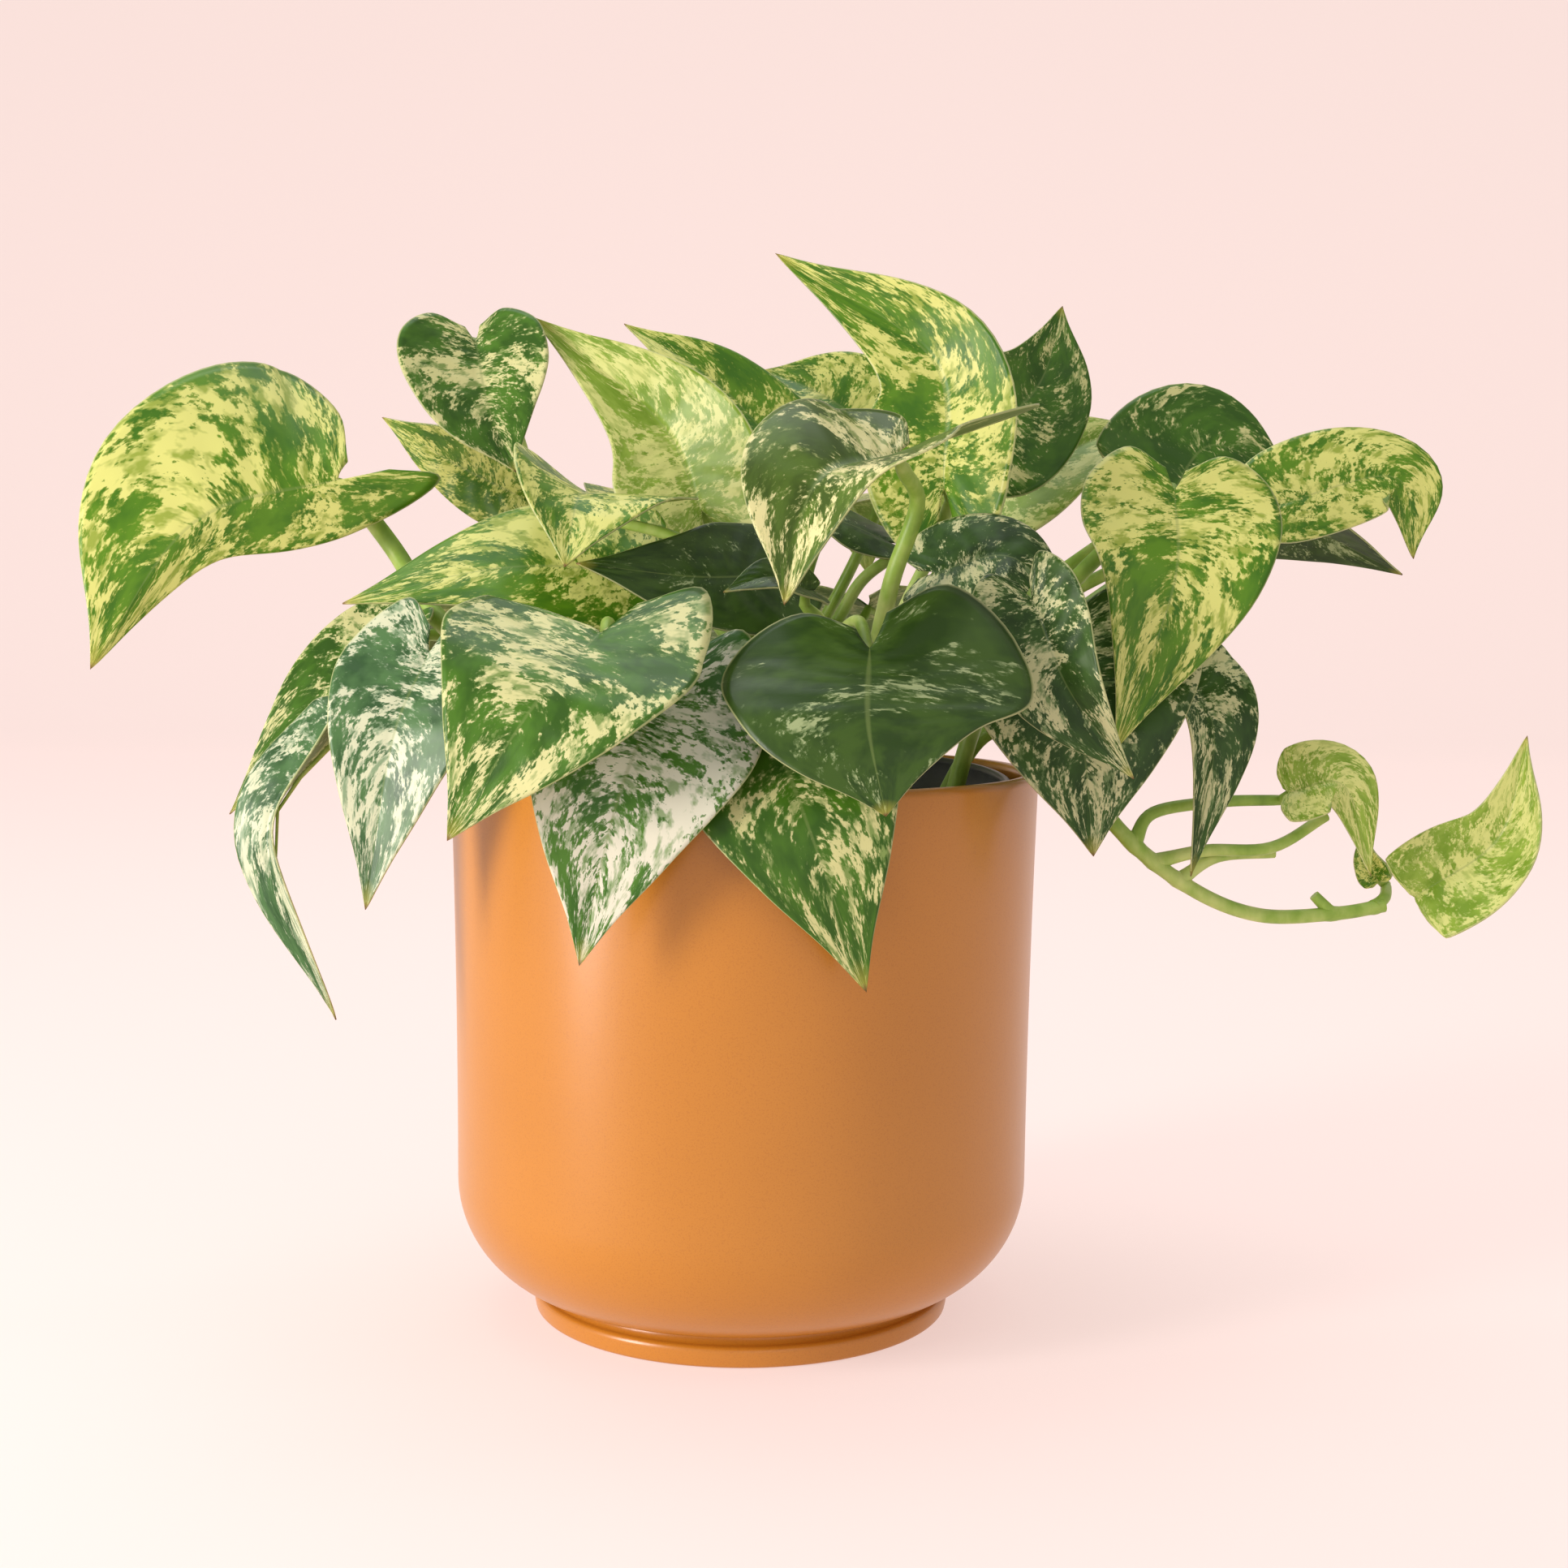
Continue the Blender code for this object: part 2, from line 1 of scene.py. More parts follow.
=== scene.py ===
# %% [markdown]
# # Potted pothos
# A young marble-leaved pothos in a plastic grow pot, dropped into a glazed cachepot. The packed
# model gives every piece its place; this notebook makes the fine surfaces and the finishes.
# A plant is best built as one recipe used many times: one blade, bent and folded differently
# for each leaf, and one tapering stem swept along different paths.

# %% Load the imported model
import math
import random

import bmesh
import bpy
from mathutils import Matrix, Vector, noise


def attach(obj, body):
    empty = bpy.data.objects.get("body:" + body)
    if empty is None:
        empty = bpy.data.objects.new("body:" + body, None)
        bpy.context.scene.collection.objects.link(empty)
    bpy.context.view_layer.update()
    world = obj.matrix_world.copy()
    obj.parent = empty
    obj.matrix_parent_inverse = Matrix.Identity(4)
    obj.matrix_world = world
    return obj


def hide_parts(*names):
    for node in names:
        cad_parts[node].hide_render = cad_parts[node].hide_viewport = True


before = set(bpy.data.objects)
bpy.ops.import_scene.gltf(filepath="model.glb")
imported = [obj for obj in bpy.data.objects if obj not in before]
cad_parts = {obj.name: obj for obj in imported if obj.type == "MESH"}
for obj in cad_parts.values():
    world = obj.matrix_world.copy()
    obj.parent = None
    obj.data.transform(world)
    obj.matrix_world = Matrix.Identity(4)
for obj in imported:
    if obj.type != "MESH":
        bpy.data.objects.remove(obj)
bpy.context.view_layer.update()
MM = 0.001
scene = bpy.context.scene

# %% [markdown]
# ## Camera and light
# The camera stands a little above the rim of the pot and looks slightly down, with a normal lens.
# The main light is a tall soft box on the left, with a low strip box before it that draws one
# upright highlight on the glaze. A wide box overhead gives the leaves their sheen and shines
# through the thin ones, and a weak one in front with a pale sky fills the shadows. One big light
# alone would leave the right side dull.

# %% Camera
lens = bpy.data.cameras.new("Camera")
lens.sensor_width = 36.0
lens.lens = 49.66
camera = bpy.data.objects.new("Camera", lens)
scene.collection.objects.link(camera)
scene.camera = camera
turn = Matrix.Rotation(math.radians(-1.03), 4, "Z") @ Matrix.Rotation(math.radians(85.05), 4, "X")
turn = turn @ Matrix.Rotation(math.radians(0.58), 4, "Z")
camera.matrix_world = Matrix.Translation((0.0, -0.611, 0.202)) @ turn
print("camera at", [round(v, 3) for v in camera.location])


# %% Colour and node helpers
def srgb(hex_code):
    """Linear RGBA from an sRGB hex code."""
    parts = [int(hex_code[i:i + 2], 16) / 255.0 for i in (0, 2, 4)]
    linear = [p / 12.92 if p <= 0.04045 else ((p + 0.055) / 1.055) ** 2.4 for p in parts]
    return (*linear, 1.0)


def put(tree, kind, settings=None, values=None, links=None):
    """Adds a node, with its settings, its socket values, and its input links."""
    node = tree.nodes.new(kind)
    for name, value in (settings or {}).items():
        setattr(node, name, value)
    for key, value in (values or {}).items():
        node.inputs[key].default_value = value
    for key, socket in (links or {}).items():
        tree.links.new(socket, node.inputs[key])
    return node


def ramp(tree, factor, stops, smooth="LINEAR"):
    """A colour ramp with stops of (place, hex code)."""
    node = put(tree, "ShaderNodeValToRGB", links={"Fac": factor})
    node.color_ramp.interpolation = smooth
    while len(node.color_ramp.elements) < len(stops):
        node.color_ramp.elements.new(1.0)
    for element, (place, code) in zip(node.color_ramp.elements, stops):
        element.position = place
        element.color = srgb(code)
    return node.outputs["Color"]


def calc(tree, operation, one, two=None, three=None, clamp=False):
    """One Math node; each input is a socket or a number."""
    node = put(tree, "ShaderNodeMath", {"operation": operation, "use_clamp": clamp})
    for index, item in enumerate((one, two, three)):
        if item is None:
            continue
        if isinstance(item, (int, float)):
            node.inputs[index].default_value = item
        else:
            tree.links.new(item, node.inputs[index])
    return node.outputs["Value"]


def new_finish(name):
    """A material with its tree and its Principled shader."""
    finish = bpy.data.materials.new(name)
    finish.use_nodes = True
    return finish, finish.node_tree, finish.node_tree.nodes["Principled BSDF"]


# %% Floor, backdrop and light
def sweep_floor():
    """A floor that curves up into a backdrop far behind the pot."""
    form = bmesh.new()
    bmesh.ops.create_grid(form, x_segments=1, y_segments=48, size=1.0)
    for corner in form.verts:
        y = corner.co.y * 3.0 + 1.2
        rise = max(0.0, y - 2.2)
        corner.co = Vector((corner.co.x * 4.0, y - 0.35 * rise, rise * rise * 0.9 - 0.0002))
    mesh = bpy.data.meshes.new("Floor")
    form.to_mesh(mesh)
    form.free()
    mesh.shade_smooth()
    floor = bpy.data.objects.new("Floor", mesh)
    scene.collection.objects.link(floor)
    paper, tree, shader = new_finish("matt paper sweep")
    shader.inputs["Base Color"].default_value = srgb("ADA09C")
    shader.inputs["Emission Color"].default_value = srgb("FFE8E3")
    shader.inputs["Emission Strength"].default_value = 0.63
    shader.inputs["Roughness"].default_value = 0.95
    mesh.materials.append(paper)


sweep_floor()


def soft_box(name, place, aim, size, power, tint):
    data = bpy.data.lights.new(name, "AREA")
    data.shape = "RECTANGLE"
    data.size, data.size_y = size
    data.energy = power
    data.color = srgb(tint)[:3]
    lamp = bpy.data.objects.new(name, data)
    lamp.location = place
    lamp.rotation_euler = (Vector(aim) - Vector(place)).to_track_quat("-Z", "Y").to_euler()
    scene.collection.objects.link(lamp)


soft_box("Key box", (-1.45, -0.92, 0.66), (0.0, 0.0, 0.50), (0.42, 1.3), 16.5, "FFFAF4")
soft_box("Strip box", (-0.60, -0.37, 0.19), (0.0, 0.0, 0.12), (0.13, 0.36), 2.5, "FFF4F4")
soft_box("Top box", (-0.15, 0.35, 1.70), (0.0, 0.0, 0.2), (1.1, 1.1), 9.0, "F6FAFF")
soft_box("Front fill", (0.6, -2.2, 0.9), (0.0, 0.0, 0.15), (1.6, 1.6), 4.0, "FFFAF6")

sky = bpy.data.worlds.new("Studio")
scene.world = sky
sky.use_nodes = True
sky.node_tree.nodes["Background"].inputs["Color"].default_value = srgb("FFF7F3")
sky.node_tree.nodes["Background"].inputs["Strength"].default_value = 0.62
scene.view_settings.view_transform = "Standard"

# %% [markdown]
# ## Glazed cachepot
# A thrown and trimmed pot: straight wall, wide round corner, and a low turned foot. It is one
# profile spun round the axis. The glaze is a satin one: a warm clay colour with fine iron specks
# and a slow change of tone, over a surface with a trace of throwing ripple. A separate clear coat
# would look too glassy, so the shine comes from the roughness alone.

# %% Turning helper
def turned(name, profile, steps, place=None):
    """Spins a profile of (radius, height) in mm round Z into a closed, smooth body."""
    form = bmesh.new()
    corners = [form.verts.new((max(r, 0.0) * MM, 0.0, z * MM)) for r, z in profile]
    edges = [form.edges.new(pair) for pair in zip(corners, corners[1:])]
    bmesh.ops.spin(form, geom=corners + edges, cent=(0, 0, 0), axis=(0, 0, 1),
                   angle=2.0 * math.pi, steps=steps, use_merge=True)
    bmesh.ops.remove_doubles(form, verts=form.verts, dist=0.000002)
    bmesh.ops.recalc_face_normals(form, faces=form.faces)
    if place:
        bmesh.ops.transform(form, matrix=place, verts=form.verts)
    return finished(name, form)


def finished(name, form, smooth_angle=40.0):
    """Turns a bmesh into a piece that rides with the plant."""
    mesh = bpy.data.meshes.new(name)
    form.to_mesh(mesh)
    form.free()
    mesh.shade_smooth()
    mesh.set_sharp_from_angle(angle=math.radians(smooth_angle))
    piece = bpy.data.objects.new(name, mesh)
    scene.collection.objects.link(piece)
    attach(piece, "root")
    return piece


def arc(centre, radius, start, end, count):
    """Points of (radius, height) on an arc, angles in degrees."""
    points = []
    for step in range(count):
        angle = math.radians(start + (end - start) * step / (count - 1))
        points.append((centre[0] + radius * math.cos(angle), centre[1] + radius * math.sin(angle)))
    return points


# %% Cachepot shape
POT_HEIGHT, RIM_RADIUS, WALL_RADIUS, WALL = 154.0, 82.5, 80.8, 4.5
CORNER, FOOT_RADIUS, FOOT_HEIGHT, POT_FLOOR = 32.0, 59.5, 6.5, 13.0


def cachepot():
    rim = WALL / 2.0
    top = POT_HEIGHT - rim
    low = FOOT_HEIGHT + CORNER
    middle = WALL_RADIUS - CORNER
    profile = [(0.0, POT_FLOOR)]
    profile += arc((middle, POT_FLOOR + CORNER - WALL), CORNER - WALL, -90.0, 0.0, 12)
    profile += arc((RIM_RADIUS - rim, top), rim, 180.0, 0.0, 14)
    for step in range(1, 12):
        share = step / 12.0
        wall = RIM_RADIUS + (WALL_RADIUS - RIM_RADIUS) * (2 * share - share * share)
        profile.append((wall, top + (low - top) * share))
    profile += arc((middle, low), CORNER, 0.0, -64.0, 20)
    profile += arc((FOOT_RADIUS - 0.4, FOOT_HEIGHT + 1.6), 2.6, 168.0, 236.0, 5)
    profile += arc((FOOT_RADIUS - 1.6, FOOT_HEIGHT - 2.2), 1.6, 90.0, 0.0, 5)
    profile += arc((FOOT_RADIUS - 1.6, 1.0), 1.0, 0.0, -90.0, 4)
    profile += [(FOOT_RADIUS - 7.0, 0.0), (FOOT_RADIUS - 9.0, 1.2), (0.0, 1.2)]
    return turned("Cachepot", profile, 160)


# %% Glaze
def satin_glaze():
    """Satin stoneware glaze: warm clay orange that pools slightly darker, with fine specks."""
    finish, tree, shader = new_finish("satin stoneware glaze")
    spot = put(tree, "ShaderNodeTexCoord").outputs["Object"]
    slow = put(tree, "ShaderNodeTexNoise", values={"Scale": 9.0, "Detail": 3.0},
               links={"Vector": spot}).outputs["Fac"]
    tone = ramp(tree, slow, [(0.3, "B4731C"), (0.7, "BE7C24")])
    fine = put(tree, "ShaderNodeTexNoise", values={"Scale": 2400.0, "Detail": 2.0},
               links={"Vector": spot}).outputs["Fac"]
    speck = ramp(tree, fine, [(0.34, "B5703A"), (0.48, "FFFFFF"), (0.60, "FFFFFF"), (0.74, "FFF0DC")])
    colour = put(tree, "ShaderNodeMix", {"data_type": "RGBA", "blend_type": "MULTIPLY"},
                 {0: 0.16}, {6: tone, 7: speck})
    tree.links.new(colour.outputs[2], shader.inputs["Base Color"])
    height = put(tree, "ShaderNodeTexNoise", values={"Scale": 260.0, "Detail": 2.0},
                 links={"Vector": spot}).outputs["Fac"]
    bump = put(tree, "ShaderNodeBump", values={"Strength": 0.05, "Distance": 0.0004},
               links={"Height": height})
    tree.links.new(bump.outputs["Normal"], shader.inputs["Normal"])
    shader.inputs["Roughness"].default_value = 0.29
    shader.inputs["IOR"].default_value = 1.58
    return finish


pot = cachepot()
pot.data.materials.append(satin_glaze())
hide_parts("ceramic_pot")
print("cachepot", len(pot.data.polygons), "faces")

# %% [markdown]
# ## Grow pot and soil
# The thin plastic pot that the plant was sold in stands inside, leaning a little to the front, so
# its rolled lip shows above the back of the cachepot's rim. The potting mix is a turned body whose
# top is pushed about by noise, with loose crumbs, bark and perlite strewn on it: a bump map alone
# would look flat from above.

# %% Grow pot
GROW_RIM, GROW_BASE, GROW_WALL, GROW_LIP, GROW_HEIGHT, GROW_LEAN = 75.0, 54.0, 1.4, 9.0, 135.0, 3.0
GROW_PLACE = Matrix.Translation((0.0, 0.005, 0.017)) @ Matrix.Rotation(math.radians(GROW_LEAN), 4, "X")


def grow_pot():
    top = GROW_HEIGHT
    under = top - GROW_LIP
    body = GROW_RIM - 3.2
    profile = [(0.0, 2.0), (GROW_BASE - GROW_WALL - 2.0, 2.0), (GROW_BASE - GROW_WALL, 4.0)]
    profile += [(body - GROW_WALL - 1.0, under - 6.0), (body - GROW_WALL, under)]
    profile += [(GROW_RIM - 3.0, under + 2.0), (GROW_RIM - 2.8, top - 1.6)]
    profile += arc((GROW_RIM - 1.4, top - 1.4), 1.4, 180.0, 0.0, 9)
    profile += [(GROW_RIM, under - 0.6), (GROW_RIM - 0.3, under - 1.0), (GROW_RIM - 1.2, under - 1.0)]
    profile += [(body, under - 1.4), (GROW_BASE + 1.0, 1.4), (GROW_BASE, 0.2), (GROW_BASE - 1.0, 0.0)]
    profile += [(0.0, 0.0)]
    return turned("Grow_pot", profile, 128, GROW_PLACE)


def moulded_plastic():
    """Thin moulded polypropylene: near black, dull, with a faint drag of scuffs."""
    finish, tree, shader = new_finish("moulded polypropylene")
    spot = put(tree, "ShaderNodeTexCoord").outputs["Object"]
    scuff = put(tree, "ShaderNodeTexNoise", values={"Scale": 60.0, "Detail": 4.0},
                links={"Vector": spot}).outputs["Fac"]
    tone = ramp(tree, scuff, [(0.35, "262A29"), (0.7, "3B403E")])
    tree.links.new(tone, shader.inputs["Base Color"])
    shader.inputs["Roughness"].default_value = 0.42
    shader.inputs["IOR"].default_value = 1.49
    return finish


plastic = grow_pot()
plastic.data.materials.append(moulded_plastic())
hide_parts("nursery_pot")

# %% Soil
SOIL_LEVEL, SOIL_DEPTH = 121.0, 112.0


def soil_height(x, y):
    """World height in mm of the soil's top at a point."""
    slope = math.tan(math.radians(GROW_LEAN))
    return 17.0 + SOIL_LEVEL / math.cos(math.radians(GROW_LEAN)) + (y - 5.0) * slope


def potting_mix_body():
    profile = [(0.0, SOIL_LEVEL)] + [(r, SOIL_LEVEL) for r in range(3, 54, 3)]
    profile += [(56.0, SOIL_LEVEL - 0.6), (60.0, SOIL_LEVEL - 1.2), (64.0, SOIL_LEVEL - 2.0)]
    profile += [(68.4, SOIL_LEVEL - 3.0), (53.5, SOIL_LEVEL - SOIL_DEPTH), (0.0, SOIL_LEVEL - SOIL_DEPTH)]
    body = turned("Potting_mix", profile, 120, GROW_PLACE)
    for corner in body.data.vertices:
        spot = corner.co / MM
        radius = math.hypot(spot.x, spot.y)
        if spot.z > 120.0 and radius < 66.0:
            rough = noise.noise(spot * 0.09) * 1.6 + noise.noise(spot * 0.35) * 1.1
            corner.co.z += (rough - 0.4) * MM
    return body


def crumbs(name, count, sizes, seed, squash):
    """Loose bits strewn over the soil: low-poly lumps, each turned and flattened its own way."""
    dice = random.Random(seed)
    form = bmesh.new()
    for _ in range(count):
        radius = 67.0 * math.sqrt(dice.random())
        angle = dice.uniform(0.0, 2.0 * math.pi)
        x, y = radius * math.cos(angle), -2.0 + radius * math.sin(angle)
        size = dice.uniform(*sizes)
        drop = 2.6 if radius > 60.0 else 0.0
        spin = Matrix.Rotation(dice.uniform(0, 6.28), 4, (dice.random(), dice.random(), 0.3))
        shape = Matrix.Diagonal((size, size * dice.uniform(0.6, 1.0), size * squash, 1.0))
        place = Matrix.Translation((x, y, soil_height(x, y) - drop + 0.2))
        in_metres = Matrix.Scale(MM, 4) @ place @ spin @ shape @ Matrix.Scale(1 / MM, 4)
        bmesh.ops.create_icosphere(form, subdivisions=1, radius=MM, matrix=in_metres)
    return finished(name, form, 60.0)


def potting_mix(name, stops, size):
    """Peat and coir: dark, dry and matt, broken into crumbs a few millimetres across."""
    finish, tree, shader = new_finish(name)
    spot = put(tree, "ShaderNodeTexCoord").outputs["Object"]
    grain = put(tree, "ShaderNodeTexNoise", values={"Scale": size, "Detail": 6.0, "Roughness": 0.7},
                links={"Vector": spot}).outputs["Fac"]
    tree.links.new(ramp(tree, grain, stops), shader.inputs["Base Color"])
    bump = put(tree, "ShaderNodeBump", values={"Strength": 0.9, "Distance": 0.0012},
               links={"Height": grain})
    tree.links.new(bump.outputs["Normal"], shader.inputs["Normal"])
    shader.inputs["Roughness"].default_value = 0.95
    return finish


peat = potting_mix("peat and coir", [(0.3, "150F0B"), (0.5, "2C2019"), (0.7, "4A382B")], 320.0)
soil = potting_mix_body()
soil.data.materials.append(peat)
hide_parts("potting_soil")
for name, count, sizes, seed, squash, finish in (
    ("Soil_crumbs", 420, (0.9, 2.4), 3, 0.7, peat),
    ("Bark_chips", 60, (2.0, 4.6), 5, 0.28,
     potting_mix("bark chips", [(0.3, "3A2416"), (0.7, "6B4A30")], 500.0)),
    ("Perlite", 70, (0.8, 1.7), 7, 0.9,
     potting_mix("perlite", [(0.3, "B9B2A6"), (0.7, "E6E2D8")], 900.0)),
):
    bits = crumbs(name, count, sizes, seed, squash)
    bits.data.materials.append(finish)
    print(name, len(bits.data.polygons), "faces")

# %% [markdown]
# ## Leaf blades
# Every blade is a heart on a bent midrib. A grid is laid over it so that its rows leave the midrib
# and run out to the edge the way the side veins do, which lets one pattern follow the veins later.
# Each half can fold up or down from the midrib and curl towards its edge. The grid's own places
# (how far along, how far out) are kept as a UV map called veins. Sculpting each leaf by hand would
# look as good, but would not be repeatable.

# %% Leaf recipe
HEART = [Vector(corner) for corner in (
    (-0.10, 0.10), (-0.19, 0.50), (-0.03, 0.91), (0.21, 1.00),
    (0.45, 0.83), (0.67, 0.53), (0.86, 0.20), (1.00, 0.00),
)]
BLADE = 0.55


def along(points, share):
    """Point at a share (0 to 1) of a smooth curve through the points."""
    last = len(points) - 1
    index = max(0, min(int(share * last), last - 1))
    t = share * last - index
    one, two = points[index], points[index + 1]
    before = points[index - 1] if index > 0 else one * 2.0 - two
    after = points[index + 2] if index + 2 <= last else two * 2.0 - one
    bend = before * 2.0 - one * 5.0 + two * 4.0 - after
    jerk = one * 3.0 - before - two * 3.0 + after
    return (one * 2.0 + (two - before) * t + bend * (t * t) + jerk * (t * t * t)) * 0.5


class Leaf:
    """A heart-shaped blade bent along its midrib.

    rib: points in mm from the petiole's end to the tip; face: the way its upper side looks, at one
    or more places along the rib; wide: half widths, left and right of the rib seen from above with
    the tip away; fold: degrees each half rises off the rib; curl: degrees more by its margin; lobe:
    how far each lobe reaches behind the base, against the usual; wave: height of its edge's ripple.
    """

    def __init__(self, rib, face, wide, fold=(12, 12), curl=(0, 0), lobe=(1, 1), wave=0.9):
        self.rib = [Vector(point) for point in rib]
        faces = face if isinstance(face[0], tuple) else (face, face)
        self.faces = [Vector(item) for item in faces]
        self.wide, self.fold, self.curl, self.lobe, self.wave = wide, fold, curl, lobe, wave
        self.size = sum((two - one).length for one, two in zip(self.rib, self.rib[1:]))

    def forward(self, u):
        u = min(max(u, 0.0), 1.0)
        return (along(self.rib, min(u + 0.02, 1.0)) - along(self.rib, max(u - 0.02, 0.0))).normalized()

    def normal(self, u):
        ahead = self.forward(u)
        face = along(self.faces, min(max(u, 0.0), 1.0))
        return (face - ahead * face.dot(ahead)).normalized()

    def point(self, s, t, seed=0):
        """Place on the blade: s from the base (0) to the tip (1), t from left (-1) to right (1)."""
        edge = along(HEART, s)
        root = s ** 1.35
        u = root + (edge.x - root) * abs(t) ** 1.5
        side = 1 if t > 0 else 0
        if u < 0.0:
            u *= self.lobe[side]
        ahead = self.forward(u)
        up = self.normal(u)
        across = ahead.cross(up) * (1.0 if side else -1.0)
        out = edge.y * abs(t)
        reach = self.wide[side] * out
        angle = math.radians(self.fold[side] + self.curl[side] * out * 0.5)
        spot = along(self.rib, max(u, 0.0)) + ahead * (min(u, 0.0) * self.size)
        spot = spot + (across * math.cos(angle) + up * math.sin(angle)) * reach
        ripple = math.sin(s * 9.0 + seed * 2.1 + side * 1.7) + 0.5 * math.sin(s * 21.0 + seed + side)
        groove = -0.55 * math.exp(-((reach / 1.1) ** 2)) * (1.0 - s)
        quilt = 0.16 * math.sin(s * 62.0) * min(1.0, reach / 6.0) * (1.0 - abs(t) ** 4)
        return spot + up * (ripple * self.wave * out * abs(t) ** 2 * (1.0 - s * 0.6) + groove + quilt)


